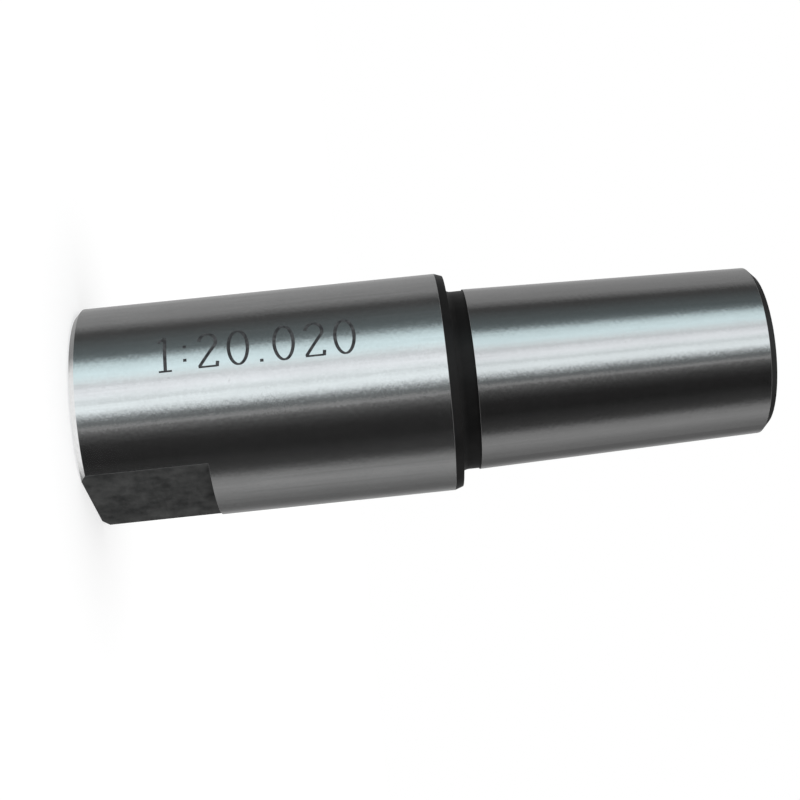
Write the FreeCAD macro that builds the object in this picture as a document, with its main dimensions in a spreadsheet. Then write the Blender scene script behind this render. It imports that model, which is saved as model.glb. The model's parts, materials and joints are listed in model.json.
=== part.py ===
import FreeCAD, Part
import os
import Sketcher

# A short Morse taper adapter sleeve, turned from one piece of steel. The wide body holds the smaller
# taper socket and has two wrench flats. Past a turned neck, the larger ground taper shank ends in a
# centre hole. The part stands on its socket end: the origin is the centre of that face, and +Z runs
# up the turning axis to the tip of the shank. Lengths are in millimetres.

# name, value, what it sets
sleeve_sizes = (
    ("body_diameter", "19", "outside diameter of the wide body"),
    ("body_length", "31.6", "from the socket end to the shoulder"),
    ("body_end_chamfer", "0.5", "outer edge of the socket end"),
    ("collar_edge_length", "0.7", "of the edge left unground at the shoulder"),
    ("collar_edge_drop", "0.25", "how far that edge slopes in to the shoulder"),
    ("neck_diameter", "15.6", "turned relief between shoulder and shank"),
    ("neck_length", "1.65", "from the shoulder to the ground shank"),
    ("shoulder_fillet", "0.6", "root radius between shoulder and neck"),
    ("shank_gauge_diameter", "15.733", "large end of the male taper, at its gauge plane"),
    ("shank_gauge_standoff", "2.9", "from the shoulder to the gauge plane"),
    ("shank_taper_length", "24", "from the gauge plane to the tip"),
    ("shank_taper_ratio", "20.02", "length of shank for one unit of diameter"),
    ("tip_chamfer", "0.65", "outer edge of the tip"),
    ("socket_gauge_diameter", "12.065", "large end of the female taper, at the socket end"),
    ("socket_taper_ratio", "20.047", "length of socket for one unit of diameter"),
    ("socket_taper_depth", "20", "reamed depth of the socket"),
    ("mouth_chamfer", "0.5", "lead-in at the socket's mouth"),
    ("pilot_diameter", "10.8", "drilled hole behind the reamed taper"),
    ("pilot_depth", "22", "from the socket end to the pilot's full diameter"),
    ("drill_point_angle", "118", "cone that both drills leave, in degrees"),
    ("flat_across", "16", "between the two wrench flats"),
    ("flat_length", "10.6", "of the flats, from the socket end"),
    ("centre_cone_diameter", "5.3", "mouth of the centre hole"),
    ("centre_cone_angle", "60", "cone of the centre hole, in degrees"),
    ("centre_pilot_diameter", "2.5", "bottom drilling of the centre hole"),
    ("centre_pilot_depth", "5.5", "from the tip to the pilot's full diameter"),
)

# The same edge is found again within this distance, in millimetres.
match_distance = 0.001

# Radii and heights that follow from the sizes.
body_radius = "Sizes.body_diameter / 2"
collar_edge_start = "Sizes.body_length - Sizes.collar_edge_length"
collar_radius = "Sizes.body_diameter / 2 - Sizes.collar_edge_drop"
neck_radius = "Sizes.neck_diameter / 2"
neck_end = "Sizes.body_length + Sizes.neck_length"
shank_root_radius = (
    "Sizes.shank_gauge_diameter / 2"
    " + (Sizes.shank_gauge_standoff - Sizes.neck_length) / (2 * Sizes.shank_taper_ratio)"
)
tip_radius = "Sizes.shank_gauge_diameter / 2 - Sizes.shank_taper_length / (2 * Sizes.shank_taper_ratio)"
overall_length = "Sizes.body_length + Sizes.shank_gauge_standoff + Sizes.shank_taper_length"
socket_radius = "Sizes.socket_gauge_diameter / 2"
socket_bottom_radius = (
    "Sizes.socket_gauge_diameter / 2 - Sizes.socket_taper_depth / (2 * Sizes.socket_taper_ratio)"
)
pilot_radius = "Sizes.pilot_diameter / 2"
pilot_tip = "Sizes.pilot_depth + Sizes.pilot_diameter / 2 / tan(Sizes.drill_point_angle / 2 * 1 deg)"


def make_sheet(doc):
    sheet = doc.addObject("Spreadsheet::Sheet", "Sizes")
    for row, (name, value, note) in enumerate(sleeve_sizes, start=1):
        sheet.set(f"A{row}", name)
        sheet.set(f"B{row}", value)
        sheet.setAlias(f"B{row}", name)
        sheet.set(f"C{row}", note)
    doc.recompute()
    return sheet


def origin_feature(body, role):
    for feature in body.Origin.OriginFeatures:
        if feature.Role == role:
            return feature
    raise ValueError(f"{body.Label} has no {role}")


def draw_outline(sketch, corners):
    """Draw a closed outline of straight sides through corners, each two expressions: across and up.

    A side whose two ends share an expression is kept level or upright, so that each size drives the
    sketch once. A coordinate of "0" holds its corner on the sketch's own axis.
    """
    places = []
    for across, up in corners:
        places.append(FreeCAD.Vector(sketch.evalExpression(across), sketch.evalExpression(up), 0))
    for start, end in zip(places, places[1:] + places[:1]):
        sketch.addGeometry(Part.LineSegment(start, end), False)
    for side in range(len(corners)):
        sketch.addConstraint(Sketcher.Constraint("Coincident", side, 2, (side + 1) % len(corners), 1))
    for corner, texts in enumerate(corners):
        for direction, text in enumerate(texts):
            constrain_corner(sketch, corners, corner, direction, text)


def constrain_corner(sketch, corners, corner, direction, text):
    """Fix one coordinate of a corner: direction 0 is across and 1 is up."""
    if corner and corners[corner - 1][direction] == text:
        straight = ("Vertical", "Horizontal")[direction]
        sketch.addConstraint(Sketcher.Constraint(straight, corner - 1))
    elif text == "0":
        own_axis = (-2, -1)[direction]
        sketch.addConstraint(Sketcher.Constraint("PointOnObject", corner, 1, own_axis))
    else:
        distance = ("DistanceX", "DistanceY")[direction]
        start = float(sketch.evalExpression(text))
        index = sketch.addConstraint(Sketcher.Constraint(distance, -1, 1, corner, 1, start))
        sketch.setExpression(f"Constraints[{index}]", text)


def section_sketch(body, name, corners):
    """A sketch on the plane through the axis, with the radius across and the height up."""
    sketch = body.newObject("Sketcher::SketchObject", name)
    sketch.AttachmentSupport = (origin_feature(body, "XZ_Plane"), [""])
    sketch.MapMode = "FlatFace"
    body.Document.recompute()
    draw_outline(sketch, corners)
    body.Document.recompute()
    return sketch


def turn(body, kind, name, corners):
    """Revolve a section about the axis: a Revolution adds it and a Groove cuts it away."""
    sketch = section_sketch(body, name + "Section", corners)
    feature = body.newObject(kind, name)
    feature.Profile = sketch
    feature.ReferenceAxis = (sketch, ["V_Axis"])
    feature.Angle = 360
    body.Document.recompute()
    return feature


def ring_edge(feature, radius, height):
    """The name of the circular edge of this radius at this height, both expressions."""
    wanted_radius = float(feature.evalExpression(radius))
    wanted_height = float(feature.evalExpression(height))
    for number, edge in enumerate(feature.Shape.Edges, start=1):
        curve = edge.Curve
        if curve.TypeId != "Part::GeomCircle":
            continue
        same_radius = abs(curve.Radius - wanted_radius) < match_distance
        same_height = abs(curve.Center.z - wanted_height) < match_distance
        if same_radius and same_height:
            return f"Edge{number}"
    raise ValueError(f"{feature.Label} has no ring of radius {wanted_radius} at {wanted_height}")


def ease_ring(body, kind, name, radius, height, size):
    """Chamfer or fillet one ring of the last feature, by a named size."""
    base = body.Tip
    feature = body.newObject(kind, name)
    feature.Base = (base, [ring_edge(base, radius, height)])
    own_size = "Radius" if kind == "PartDesign::Fillet" else "Size"
    feature.setExpression(own_size, f"Sizes.{size}")
    body.Document.recompute()
    return feature


def check_cut(feature):
    removed = feature.BaseFeature.Shape.Volume - feature.Shape.Volume
    if removed <= 0:
        raise ValueError(f"{feature.Label} removes nothing")
    print(f"{feature.Label} removes {removed:.1f} mm3")


def turn_blank(body):
    """Body, collar edge, neck and taper shank, turned in one setting, with their edges broken."""
    corners = (
        ("0", "0"),
        (body_radius, "0"),
        (body_radius, collar_edge_start),
        (collar_radius, "Sizes.body_length"),
        (neck_radius, "Sizes.body_length"),
        (neck_radius, neck_end),
        (shank_root_radius, neck_end),
        (tip_radius, overall_length),
        ("0", overall_length),
    )
    turn(body, "PartDesign::Revolution", "TurnedBlank", corners)
    chamfer = "PartDesign::Chamfer"
    ease_ring(body, chamfer, "BodyEndChamfer", body_radius, "0", "body_end_chamfer")
    ease_ring(body, chamfer, "TipChamfer", tip_radius, overall_length, "tip_chamfer")
    fillet = "PartDesign::Fillet"
    ease_ring(body, fillet, "ShoulderFillet", neck_radius, "Sizes.body_length", "shoulder_fillet")


def bore_socket(body):
    """The reamed female taper, and behind it the pilot drilling with its drill point."""
    corners = (
        ("0", "0"),
        (socket_radius, "0"),
        (socket_bottom_radius, "Sizes.socket_taper_depth"),
        (pilot_radius, "Sizes.socket_taper_depth"),
        (pilot_radius, "Sizes.pilot_depth"),
        ("0", pilot_tip),
    )
    check_cut(turn(body, "PartDesign::Groove", "TaperSocket", corners))
    ease_ring(body, "PartDesign::Chamfer", "MouthChamfer", socket_radius, "0", "mouth_chamfer")


def drill_centre(body):
    """The centre hole in the tip, which the shank is ground between centres on."""
    sketch = body.newObject("Sketcher::SketchObject", "CentrePlace")
    sketch.AttachmentSupport = (origin_feature(body, "XY_Plane"), [""])
    sketch.MapMode = "FlatFace"
    sketch.setExpression("AttachmentOffset.Base.z", overall_length)
    mouth_radius = sketch.evalExpression("Sizes.centre_cone_diameter / 2")
    sketch.addGeometry(Part.Circle(FreeCAD.Vector(), FreeCAD.Vector(0, 0, 1), mouth_radius), False)
    sketch.addConstraint(Sketcher.Constraint("Coincident", 0, 3, -1, 1))
    index = sketch.addConstraint(Sketcher.Constraint("Diameter", 0, 2 * mouth_radius))
    sketch.setExpression(f"Constraints[{index}]", "Sizes.centre_cone_diameter")
    body.Document.recompute()
    hole = body.newObject("PartDesign::Hole", "CentreHole")
    hole.Profile = sketch
    body.Document.recompute()
    hole.ThreadType = "None"
    hole.DepthType = "Dimension"
    hole.DrillPoint = "Angled"
    hole.HoleCutType = "Countersink"
    hole.setExpression("Diameter", "Sizes.centre_pilot_diameter")
    hole.setExpression("Depth", "Sizes.centre_pilot_depth")
    hole.setExpression("DrillPointAngle", "Sizes.drill_point_angle * 1 deg")
    hole.setExpression("HoleCutDiameter", "Sizes.centre_cone_diameter")
    hole.setExpression("HoleCutCountersinkAngle", "Sizes.centre_cone_angle * 1 deg")
    body.Document.recompute()
    check_cut(hole)


def mill_flats(body):
    """Two opposed wrench flats across the socket end, each with a square step at its upper end.

    The cutter's section reaches a whole body diameter out, well clear of the body.
    """
    corners = (
        ("Sizes.flat_across / 2", "0"),
        ("Sizes.body_diameter", "0"),
        ("Sizes.body_diameter", "Sizes.flat_length"),
        ("Sizes.flat_across / 2", "Sizes.flat_length"),
    )
    pocket = body.newObject("PartDesign::Pocket", "WrenchFlat")
    pocket.Profile = section_sketch(body, "WrenchFlatSection", corners)
    pocket.Type = "ThroughAll"
    pocket.Midplane = True
    body.Document.recompute()
    check_cut(pocket)
    pair = body.newObject("PartDesign::Mirrored", "WrenchFlatPair")
    pair.Originals = [pocket]
    pair.MirrorPlane = (origin_feature(body, "YZ_Plane"), [""])
    body.Tip = pair
    body.Document.recompute()
    check_cut(pair)


def check_document(doc, body):
    for item in doc.Objects:
        if "Invalid" in item.State or "Error" in item.State:
            raise ValueError(f"{item.Label} failed: {item.State}")
    shape = body.Shape
    if shape.isNull() or not shape.isValid() or len(shape.Solids) != 1:
        raise ValueError(f"{body.Label} is not one valid solid")
    print(f"{body.Label}: {shape.Volume:.1f} mm3, {shape.BoundBox.ZLength:.2f} mm tall")


def build_sleeve():
    doc = FreeCAD.newDocument("TaperSleeve")
    make_sheet(doc)
    body = doc.addObject("PartDesign::Body", "TaperSleeve")
    body.Label = "taper_sleeve"
    turn_blank(body)
    bore_socket(body)
    drill_centre(body)
    mill_flats(body)
    check_document(doc, body)
    return body


sleeve = build_sleeve()
os.makedirs("parts", exist_ok=True)
sleeve.Shape.exportStep(f"parts/{sleeve.Label}.step")
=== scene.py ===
import json
import math

import bpy
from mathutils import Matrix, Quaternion, Vector


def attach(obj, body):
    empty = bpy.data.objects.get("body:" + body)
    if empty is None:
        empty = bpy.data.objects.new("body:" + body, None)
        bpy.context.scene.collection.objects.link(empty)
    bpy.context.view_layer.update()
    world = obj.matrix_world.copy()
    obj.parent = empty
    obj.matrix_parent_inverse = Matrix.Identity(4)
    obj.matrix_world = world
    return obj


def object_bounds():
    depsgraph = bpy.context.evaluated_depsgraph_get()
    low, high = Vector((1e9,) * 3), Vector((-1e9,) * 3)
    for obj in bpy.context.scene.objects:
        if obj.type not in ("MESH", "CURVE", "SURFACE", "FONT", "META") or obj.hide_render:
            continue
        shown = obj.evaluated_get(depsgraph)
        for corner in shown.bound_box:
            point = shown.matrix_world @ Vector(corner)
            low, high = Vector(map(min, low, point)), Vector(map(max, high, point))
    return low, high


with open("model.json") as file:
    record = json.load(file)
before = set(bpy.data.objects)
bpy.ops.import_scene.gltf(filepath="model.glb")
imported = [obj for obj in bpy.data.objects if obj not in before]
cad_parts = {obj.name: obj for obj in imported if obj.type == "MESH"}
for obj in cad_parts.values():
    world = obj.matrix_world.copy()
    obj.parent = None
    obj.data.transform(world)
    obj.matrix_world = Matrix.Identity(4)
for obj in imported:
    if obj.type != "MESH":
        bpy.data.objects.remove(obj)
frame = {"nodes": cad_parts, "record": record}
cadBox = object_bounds()
mm = 0.001

# Key places on the sleeve, from the frame. Its axis is Z and it stands on its socket end.
mounts = {mount["name"]: mount["pos_m"] for mount in frame["record"]["mounts"]}
bodyRadius = cadBox[1].y
tipHeight = cadBox[1].z
shoulderHeight = mounts["shoulder_face"][2]
flatDistance = mounts["wrench_flat_right"][0]
flatHeight = 2 * mounts["wrench_flat_right"][2]

# facing is the side of the sleeve that is towards the camera, and upward is the side that is
# uppermost when the sleeve lies across the view
frontTurn = math.radians(27.9)  # from -Y towards +X
facing = Vector((math.sin(frontTurn), -math.cos(frontTurn), 0))
upward = Vector((-math.cos(frontTurn), -math.sin(frontTurn), 0))


class Value:
    # wraps a socket, so that sums on it are written as plain Python and add Math nodes
    def __init__(self, graph, socket):
        self.graph = graph
        self.socket = socket

    def math(self, operation, *others):
        return self.graph.maths(operation, self, *others)

    def __add__(self, other):
        return self.math("ADD", other)

    def __sub__(self, other):
        return self.math("SUBTRACT", other)

    def __rsub__(self, other):
        return self.graph.maths("SUBTRACT", other, self)

    def __mul__(self, other):
        return self.math("MULTIPLY", other)

    def __truediv__(self, other):
        return self.math("DIVIDE", other)

    def __rtruediv__(self, other):
        return self.graph.maths("DIVIDE", other, self)

    def __abs__(self):
        return self.math("ABSOLUTE")

    __radd__ = __add__
    __rmul__ = __mul__


class Graph:
    # one node tree; node() adds any node, and the other methods are short names for common ones
    def __init__(self, tree):
        self.tree = tree
        tree.nodes.clear()

    def node(self, kind, settings=None, sockets=None):
        made = self.tree.nodes.new(kind)
        for name, value in (settings or {}).items():
            if name == "stops":
                self.setStops(made.color_ramp, value)
            else:
                setattr(made, name, value)
        for name, value in (sockets or {}).items():
            if isinstance(value, Value):
                self.tree.links.new(value.socket, made.inputs[name])
            elif isinstance(value, bpy.types.NodeSocket):
                self.tree.links.new(value, made.inputs[name])
            else:
                made.inputs[name].default_value = value
        return made

    def setStops(self, ramp, stops):
        while len(ramp.elements) < len(stops):
            ramp.elements.new(1.0)
        for element, (place, colour) in zip(ramp.elements, stops):
            element.position = place
            element.color = colour

    def value(self, kind, output, settings=None, sockets=None):
        return Value(self, self.node(kind, settings, sockets).outputs[output])

    def maths(self, operation, *values):
        return self.value("ShaderNodeMath", 0, {"operation": operation}, dict(enumerate(values)))

    def ramp(self, value, low, high):
        # 0 below low and 1 above high, with a smooth step between
        settings = {"interpolation_type": "SMOOTHSTEP"}
        sockets = {"Value": value, "From Min": low, "From Max": high}
        return self.value("ShaderNodeMapRange", "Result", settings, sockets)

    def window(self, value, low, high, blur):
        return self.ramp(value, low - blur, low + blur) * (1 - self.ramp(value, high - blur, high + blur))

    def gradient(self, value, stops):
        return self.value("ShaderNodeValToRGB", "Color", {"stops": stops}, {"Fac": value})

    def mix(self, amount, first, second):
        # the colours of a Mix node are its sockets 6 and 7, and their mix is output 2
        settings = {"data_type": "RGBA", "clamp_factor": True}
        sockets = {"Factor": amount, 6: first, 7: second}
        return self.value("ShaderNodeMix", 2, settings, sockets)

    def noise(self, place, counts, detail=2.0, roughness=0.5):
        # counts is the number of marks to the metre along each axis
        vector = self.vector(*(part * count for part, count in zip(place, counts)))
        sockets = {"Vector": vector, "Scale": 1.0, "Detail": detail, "Roughness": roughness}
        return self.value("ShaderNodeTexNoise", "Fac", {"noise_dimensions": "3D"}, sockets)

    def vector(self, x, y, z):
        return self.value("ShaderNodeCombineXYZ", "Vector", None, {"X": x, "Y": y, "Z": z})

    def split(self, vector):
        parts = self.node("ShaderNodeSeparateXYZ", None, {"Vector": vector})
        return [Value(self, parts.outputs[axis]) for axis in "XYZ"]

    def dot(self, vector, direction):
        sockets = {0: vector, 1: direction}
        return self.value("ShaderNodeVectorMath", "Value", {"operation": "DOT_PRODUCT"}, sockets)


def newMaterial(name):
    material = bpy.data.materials.new(name)
    material.use_nodes = True
    return material, Graph(material.node_tree)


def finishMaterial(graph, surface):
    graph.node("ShaderNodeOutputMaterial", None, {"Surface": surface.outputs[0]})


steel = {
    "bodyColour": (0.83, 0.835, 0.835, 1),
    "shankColour": (0.75, 0.75, 0.75, 1),
    "dullColour": (0.62, 0.62, 0.62, 1),  # half of it shows where the steel is worn
    "brightness": 0.55,  # from 0, worn all over, to 1
    "wear": {"grain": 0.5, "specks": 0.5, "streaks": 1.0, "smears": 1.2},
    "scratchWear": 0.4,
    "pitWear": 0.6,
    "roughness": 0.17,
    "bodyHaze": 0.007,  # a film of oil that lifts the body's darkest reflections
    "roughnessGrain": 0.1,
    "anisotropy": 0.82,
    "specular": 0.2,

    # the black skin's colours, made darker than the skin itself with painted shade of the neck's groove
    "blackColours": ((0.007, 0.007, 0.007, 1), (0.0145, 0.0142, 0.014, 1)),
    "blackContrast": 2.5,
    "blackRoughness": 0.5,
    "flatColours": ((0.026, 0.027, 0.027, 1), (0.076, 0.077, 0.076, 1)),
    "flatContrast": 2.6,
    "flatRoughness": 0.45,
    "cutRoughness": 0.2,

    # how far each finish reaches
    "endFace": 0.03 * mm,
    "collarEdge": 0.72 * mm,
    "neckLength": 1.67 * mm,
    "tipChamfer": 0.65 * mm,
    "socketRadius": 6.55 * mm,
    "reamedDepth": 20 * mm,
    "centreRadius": 2.68 * mm,
    "centreDepth": 2.4 * mm,
    "edgeBlur": 0.02 * mm,

    # marks in the surface: how many to the metre along X, Y and Z, their detail and roughness
    "marks": {
        "lines": ((60, 60, 9000), 3.0, 0.6),  # fine grinding lines round the sleeve
        "broadLines": ((120, 120, 1500), 2.0, 0.5),
        "waves": ((900, 900, 110), 2.0, 0.5),
        "grit": ((1600, 1600, 4200), 2.0, 0.6),
        "streaks": ((3200, 3200, 110), 3.0, 0.6),
        "scratches": ((1500, 1500, 45), 1.0, 0.5),
        "specks": ((4000, 4000, 4000), 1.0, 0.5),
        "smears": ((350, 350, 220), 4.0, 0.65),
        "pits": ((1800, 1800, 1800), 1.0, 0.5),
        "patches": ((200, 600, 600), 3.0, 0.55),  # uneven colour of the milled flats
    },
    "lineShare": 0.6,  # how much of the grain is fine lines
    "scratchLimits": (0.62, 0.72),
    "pitLimits": (0.74, 0.80),
    "cuts": ((40, 700, 2600), 3.0, 0.6),  # cutter marks on the flats
    "cutLean": 0.571,  # how far they run sideways for each step up
    "rings": (8000, 0, 0),  # facing rings on the ends, by radius

    # how deep the marks are
    "bumpDistance": 0.01 * mm,
    "fineDepth": 0.05,
    "ringDepth": 5,
    "cutDepth": 2,
    "waveDepth": 0.4,
    "gritDepth": 2.6,
}


def sleeveZones(graph, x, y, z, radius):
    # where each finish lies: 1 inside it and 0 outside
    blur = steel["edgeBlur"]

    def above(value, limit):
        return graph.ramp(value, limit - blur, limit + blur)

    shank = above(z, shoulderHeight)
    faced = (1 - above(z, steel["endFace"])).math("MAXIMUM", above(z, tipHeight - steel["endFace"]))

    # turned and hardened but not ground: the neck with its collar, and the tip, painted near black, as
    # black skin deepened with painted shade of the neck's groove
    neckEnd = shoulderHeight + steel["neckLength"]
    collar = graph.window(z, shoulderHeight - steel["collarEdge"], neckEnd, blur)
    tip = above(z, tipHeight - steel["tipChamfer"])
    centreCone = above(z, tipHeight - steel["centreDepth"]) * (1 - above(radius, steel["centreRadius"]))
    inSocket = (1 - above(radius, steel["socketRadius"])) * (1 - shank)
    outside = collar.math("MAXIMUM", tip * (1 - centreCone)) * (1 - inSocket)

    # drilled: the socket's inner end and the pilot of the centre hole
    centrePilot = (1 - above(radius, steel["centreRadius"] / 2)) * shank * (1 - centreCone)
    drilled = (inSocket * above(z, steel["reamedDepth"])).math("MAXIMUM", centrePilot)
    black = outside.math("MAXIMUM", drilled)

    # the two milled flats
    beyond = graph.ramp(abs(x), flatDistance - blur, flatDistance - blur / 2)
    flat = beyond * (1 - graph.ramp(z, flatHeight, flatHeight + blur / 2))
    dark = black.math("MAXIMUM", flat)
    return {"shank": shank, "faced": faced, "black": black, "flat": flat, "dark": dark}


def surfaceMarks(graph, x, y, z, radius):
    marks = {name: graph.noise((x, y, z), *kind) for name, kind in steel["marks"].items()}
    broad = marks["broadLines"] * (1 - steel["lineShare"])
    marks["grain"] = marks["lines"] * steel["lineShare"] + broad
    marks["scratches"] = graph.ramp(marks["scratches"], *steel["scratchLimits"])
    marks["pits"] = graph.ramp(marks["pits"], *steel["pitLimits"])
    marks["cuts"] = graph.noise((x, y + z * steel["cutLean"], z), *steel["cuts"])
    marks["rings"] = graph.noise((radius, 0, 0), steel["rings"])
    return marks


def steelColour(graph, zones, marks):
    # ground steel, more or less worn, then the black skin, darkened with painted shade of the neck's
    # groove, and the flats over it
    ground = graph.mix(zones["shank"], steel["bodyColour"], steel["shankColour"])
    worn = graph.mix(0.5, ground, steel["dullColour"])
    shine = steel["brightness"] + sum((marks[name] - 0.5) * part for name, part in steel["wear"].items())
    shine = shine - marks["scratches"] * steel["scratchWear"] - marks["pits"] * steel["pitWear"]
    # the black skin, with painted shade of the neck's groove in its darkness
    skinAndShade = graph.mix(0.5 + (marks["smears"] - 0.5) * steel["blackContrast"], *steel["blackColours"])
    milled = 0.5 + (marks["patches"] - 0.5) * steel["flatContrast"] + (marks["cuts"] - 0.5)
    colour = graph.mix(zones["black"], graph.mix(shine, worn, ground), skinAndShade)
    return graph.mix(zones["flat"], colour, graph.mix(milled, *steel["flatColours"]))


def steelRoughness(zones, marks):
    ground = steel["roughness"] + (marks["grain"] - 0.5) * steel["roughnessGrain"]
    skinAndShade = zones["black"] * (1 - zones["flat"]) * steel["blackRoughness"]
    milled = steel["flatRoughness"] + (marks["cuts"] - 0.5) * steel["cutRoughness"]
    return ground * (1 - zones["dark"]) + skinAndShade + zones["flat"] * milled


def steelBump(graph, zones, marks):
    # grinding lines, facing rings and cutter marks, with the waves and the grit over them
    height = marks["lines"] * (1 - zones["faced"]) * (1 - zones["flat"])
    height = height + marks["rings"] * zones["faced"] * steel["ringDepth"]
    height = height + marks["cuts"] * zones["flat"] * steel["cutDepth"]
    fine = graph.value("ShaderNodeBump", "Normal", None, {
        "Height": height,
        "Strength": steel["fineDepth"],
        "Distance": steel["bumpDistance"],
    })
    return graph.value("ShaderNodeBump", "Normal", None, {
        "Height": marks["waves"] + marks["grit"] * steel["gritDepth"] * (1 - zones["dark"]),
        "Strength": steel["waveDepth"],
        "Distance": steel["bumpDistance"],
        "Normal": fine,
    })


def sleeveSteel():
    material, graph = newMaterial("groundSteel")
    x, y, z = graph.split(graph.value("ShaderNodeTexCoord", "Object"))
    radius = (x * x + y * y).math("SQRT")
    zones = sleeveZones(graph, x, y, z, radius)
    marks = surfaceMarks(graph, x, y, z, radius)
    surface = graph.node("ShaderNodeBsdfPrincipled", None, {
        "Base Color": steelColour(graph, zones, marks),
        "Metallic": (1 - zones["dark"]) * (1 - (1 - zones["shank"]) * steel["bodyHaze"]),
        "Roughness": steelRoughness(zones, marks),
        "Specular IOR Level": steel["specular"],
        "Anisotropic": steel["anisotropy"],
        "Anisotropic Rotation": 0.25,  # so that the grinding marks run round the sleeve
        "Normal": steelBump(graph, zones, marks),
    })
    finishMaterial(graph, surface)
    return material


sleeve = frame["nodes"]["taper_sleeve"]
sleeve.material_slots[0].material = sleeveSteel()
print("steel: the sleeve has its ground, black and milled finishes")

mark = {
    "figures": "1:20.020",  # the taper's ratio, etched along the body
    "height": 3.15 * mm,
    "stem": 0.28 * mm,  # width of an upright stroke
    "hairline": 0.16 * mm,  # width of a level one
    "gap": 0.93 * mm,
    "middle": 15.5 * mm,
    "turn": math.radians(29),  # from the facing side towards the upward one
    "lift": 0.01 * mm,
    "step": 0.2 * mm,
    "colours": ((0.04, 0.042, 0.045, 1), (0.12, 0.125, 0.13, 1)),
    "burn": ((2500, 2500, 2500), 2.0, 0.6),
    "burnShare": 0.35,
    "burnContrast": 2.5,
    "roughness": 0.7,
    "specular": 0.2,
}


def arc(middle, across, high, start, end, steps=20):
    points = []
    for index in range(steps + 1):
        angle = math.radians(start + (end - start) * index / steps)
        points.append((middle[0] + across * math.cos(angle), middle[1] + high * math.sin(angle)))
    return points


# each figure is its width and its strokes, for a height of one
figures = {
    "0": (0.50, [arc((0.25, 0.5), 0.25, 0.5, 0, 360, 36)]),
    "1": (0.34, [[(0.0, 0.86), (0.17, 1.0)], [(0.17, 1.0), (0.17, 0.0)], [(0.0, 0.0), (0.34, 0.0)]]),
    "2": (0.50, [
        arc((0.25, 0.74), 0.22, 0.26, 170, -20),
        [(0.455, 0.65), (0.02, 0.03)],
        [(0.0, 0.02), (0.48, 0.02)],
        [(0.48, 0.0), (0.50, 0.15)],
    ]),
    ":": (0.10, [[(0.05, 0.22), (0.05, 0.30)], [(0.05, 0.62), (0.05, 0.70)]]),
    ".": (0.10, [[(0.05, 0.0), (0.05, 0.08)]]),
}


def onBody(along, up):
    turn = mark["turn"] + up / bodyRadius
    outward = facing * math.cos(turn) + upward * math.sin(turn)
    return outward * (bodyRadius + mark["lift"]) + Vector((0, 0, along))


def spaced(points):
    # the same line with points no further apart than the step
    dense = [points[0]]
    for start, end in zip(points, points[1:]):
        count = max(1, math.ceil(math.dist(start, end) * mark["height"] / mark["step"]))
        for index in range(1, count + 1):
            share = index / count
            dense.append(tuple(a + (b - a) * share for a, b in zip(start, end)))
    return dense


def addStroke(vertices, faces, points, left):
    # a thin ribbon along one stroke, bent round the body
    points = spaced(points)
    first = len(vertices)
    for index, (along, up) in enumerate(points):
        before = points[max(index - 1, 0)]
        after = points[min(index + 1, len(points) - 1)]
        run = Vector((after[0] - before[0], after[1] - before[1])).normalized()
        run *= (mark["hairline"] + (mark["stem"] - mark["hairline"]) * abs(run.y)) / 2
        along = left + along * mark["height"]
        up = (up - 0.5) * mark["height"]
        vertices.append(onBody(along - run.y, up + run.x))
        vertices.append(onBody(along + run.y, up - run.x))
    for index in range(len(points) - 1):
        corner = first + 2 * index
        faces.append((corner, corner + 1, corner + 3, corner + 2))


def etchedSteel():
    material, graph = newMaterial("etchedSteel")
    burn = graph.noise(graph.split(graph.value("ShaderNodeTexCoord", "Object")), *mark["burn"])
    surface = graph.node("ShaderNodeBsdfPrincipled", None, {
        "Base Color": graph.mix(mark["burnShare"] + (burn - 0.5) * mark["burnContrast"], *mark["colours"]),
        "Roughness": mark["roughness"],
        "Specular IOR Level": mark["specular"],
    })
    finishMaterial(graph, surface)
    return material


def etchMark():
    widths = [figures[letter][0] * mark["height"] for letter in mark["figures"]]
    length = sum(widths) + mark["gap"] * (len(widths) - 1)
    left = mark["middle"] - length / 2
    vertices, faces = [], []
    for letter, width in zip(mark["figures"], widths):
        for points in figures[letter][1]:
            addStroke(vertices, faces, points, left)
        left += width + mark["gap"]
    mesh = bpy.data.meshes.new("etchedMark")
    mesh.from_pydata(vertices, [], faces)
    mesh.materials.append(etchedSteel())
    piece = bpy.data.objects.new("etchedMark", mesh)
    bpy.context.collection.objects.link(piece)
    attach(piece, "root")


etchMark()
print("mark: the taper's ratio is etched along the body")

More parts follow.
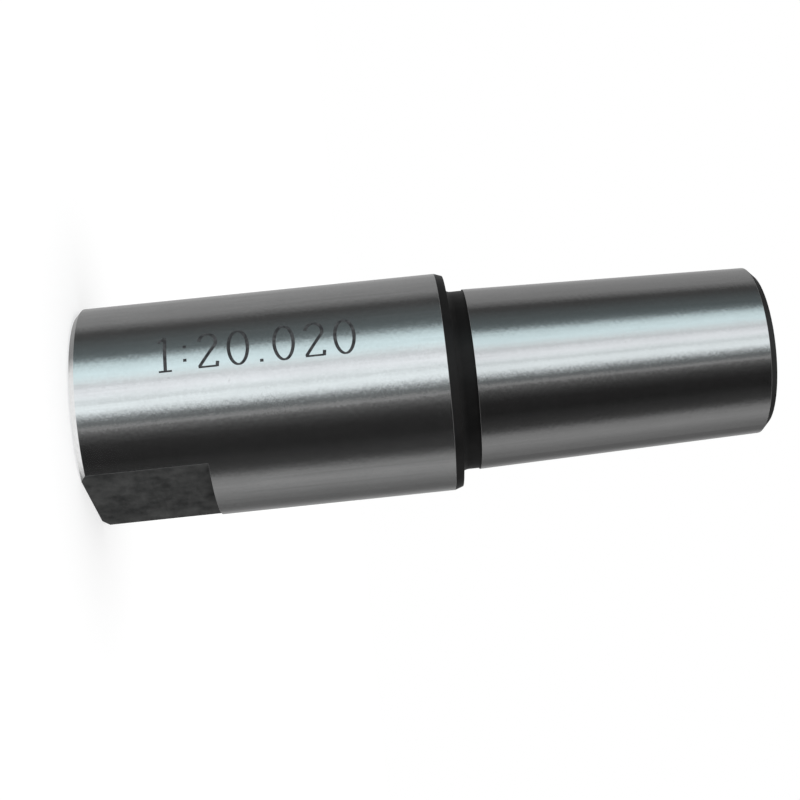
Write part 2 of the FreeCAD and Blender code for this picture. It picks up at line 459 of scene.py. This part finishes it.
# What shows in the polish, by the turn away from the facing side in degrees: how bright it is, and
# its tint. "upper" goes round by the upward side and "lower" by the other.
walls = {
    "upper": (
        # a bright window with two thin bars
        (0, 0.38, "pale"), (4, 0.80, "pale"), (8, 1.04, "pale"), (14, 1.0, "pale"),
        (16, 0.72, "pale"), (18, 0.93, "pale"), (24, 1.02, "white"), (30, 0.90, "white"),
        (33, 0.69, "white"), (36, 0.84, "pale"), (44, 0.98, "cool"), (51, 0.88, "cool"),
        # the shade beside it
        (56, 0.70, "cool"), (63, 0.20, "cool"), (69, 0.125, "cool"), (94, 0.053, "grey"),
        # a grey wall behind
        (98, 0.062, "grey"), (112, 0.22, "grey"), (146, 0.29, "grey"), (166, 0.41, "grey"),
        (180, 0.45, "grey"),
    ),
    "lower": (
        # the window's edge, then a narrow strip of light
        (0, 0.38, "pale"), (4, 0.16, "pale"), (8, 0.13, "pale"), (10, 0.28, "grey"),
        (12, 0.28, "grey"), (14, 0.13, "grey"),
        # a dark room
        (22, 0.048, "grey"), (28, 0.025, "grey"), (34, 0.013, "grey"), (48, 0.010, "grey"),
        (69, 0.038, "grey"), (74, 0.07, "grey"),
        # a grey wall behind
        (83, 0.21, "grey"), (96, 0.265, "grey"), (124, 0.14, "grey"), (138, 0.12, "grey"),
        (146, 0.15, "grey"), (158, 0.27, "grey"), (180, 0.42, "grey"),
    ),
    "tints": {
        "grey": (1, 1, 1),
        "pale": (0.93, 1.0, 1.02),
        "white": (0.965, 1.0, 1.035),
        "cool": (0.83, 1.0, 1.035),
    },
    "overhead": math.sin(math.radians(58)),  # steeper than this, up or down, everything is white
    "overheadBlur": 0.06,
    "softLight": (1, 1, 1, 1),
}


def stopsOf(side):
    stops = []
    for turn, level, tint in walls[side]:
        stops.append((turn / 180, (*(level * part for part in walls["tints"][tint]), 1)))
    return stops


def lightWorld():
    world = bpy.data.worlds.new("studio")
    world.use_nodes = True
    bpy.context.scene.world = world
    graph = Graph(world.node_tree)
    white = (1, 1, 1, 1)
    direction = graph.value("ShaderNodeTexCoord", "Generated")
    around = graph.dot(direction, upward).math("ARCTAN2", graph.dot(direction, facing)) / math.pi
    upper = graph.gradient(around, stopsOf("upper"))
    lower = graph.gradient(abs(around), stopsOf("lower"))
    sides = graph.mix(around.math("GREATER_THAN", 0), lower, upper)
    steepness = abs(graph.split(direction)[2])
    limits = (walls["overhead"] - walls["overheadBlur"], walls["overhead"] + walls["overheadBlur"])
    shown = graph.mix(graph.ramp(steepness, *limits), sides, white)

    rays = graph.node("ShaderNodeLightPath")
    camera, glossy, transmitted = (
        Value(graph, rays.outputs[f"Is {kind} Ray"]) for kind in ("Camera", "Glossy", "Transmission")
    )
    colour = graph.mix(glossy, walls["softLight"], shown)
    colour = graph.mix(camera.math("MAXIMUM", transmitted), colour, white)
    background = graph.node("ShaderNodeBackground", None, {"Color": colour, "Strength": 1.0})
    graph.node("ShaderNodeOutputWorld", None, {"Surface": background.outputs[0]})


lightWorld()
print("surroundings: walls show in the polish, with soft light all round")

floor = {
    "size": 3.0,
    "gap": 0.02 * mm,  # below the sleeve
    "colour": (0.50, 0.50, 0.50, 1),
    "lift": (0.56, 0.56, 0.56, 1),  # light of its own, for the camera alone
    "roughness": 0.9,
}


def floorPaint():
    material, graph = newMaterial("paleFloor")
    camera = Value(graph, graph.node("ShaderNodeLightPath").outputs["Is Camera Ray"])
    paint = graph.node("ShaderNodeBsdfPrincipled", None, {
        "Base Color": floor["colour"],
        "Roughness": floor["roughness"],
        "Specular IOR Level": 0.0,
        "Emission Color": graph.mix(camera, (0, 0, 0, 1), floor["lift"]),
        "Emission Strength": 1.0,
    })
    # from below the floor is clear, so that it doesn't hide the socket
    below = graph.node("ShaderNodeNewGeometry").outputs["Backfacing"]
    clear = graph.node("ShaderNodeBsdfTransparent")
    surface = graph.node("ShaderNodeMixShader", None, {0: below, 1: paint.outputs[0], 2: clear.outputs[0]})
    finishMaterial(graph, surface)
    return material


def layFloor():
    half = floor["size"] / 2
    low = -floor["gap"]
    corners = [(-half, -half, low), (half, -half, low), (half, half, low), (-half, half, low)]
    mesh = bpy.data.meshes.new("floor")
    mesh.from_pydata(corners, [], [(0, 1, 2, 3)])
    mesh.materials.append(floorPaint())
    piece = bpy.data.objects.new("floor", mesh)
    bpy.context.collection.objects.link(piece)
    piece.visible_glossy = False


layFloor()
print("floor: a pale one lies under the sleeve")

view = {
    "distance": 130.64 * mm,
    "height": 24.22 * mm,
    "aim": Vector((1.00, 0.62, 26.92)) * mm,
    "roll": math.radians(84.1),
    "lens": 67.13,
    "clipStart": 0.01,
}


def placeCamera():
    data = bpy.data.cameras.new("camera")
    data.lens = view["lens"]
    data.clip_start = view["clipStart"]
    camera = bpy.data.objects.new("camera", data)
    bpy.context.collection.objects.link(camera)
    camera.location = facing * view["distance"] + Vector((0, 0, view["height"]))
    aim = (view["aim"] - camera.location).to_track_quat("-Z", "Y")
    camera.rotation_mode = "QUATERNION"
    camera.rotation_quaternion = aim @ Quaternion((0, 0, 1), view["roll"])
    bpy.context.scene.camera = camera


placeCamera()
bpy.context.scene.view_settings.view_transform = "Standard"
print("camera: it is in place, rolled so that the sleeve lies across the view")
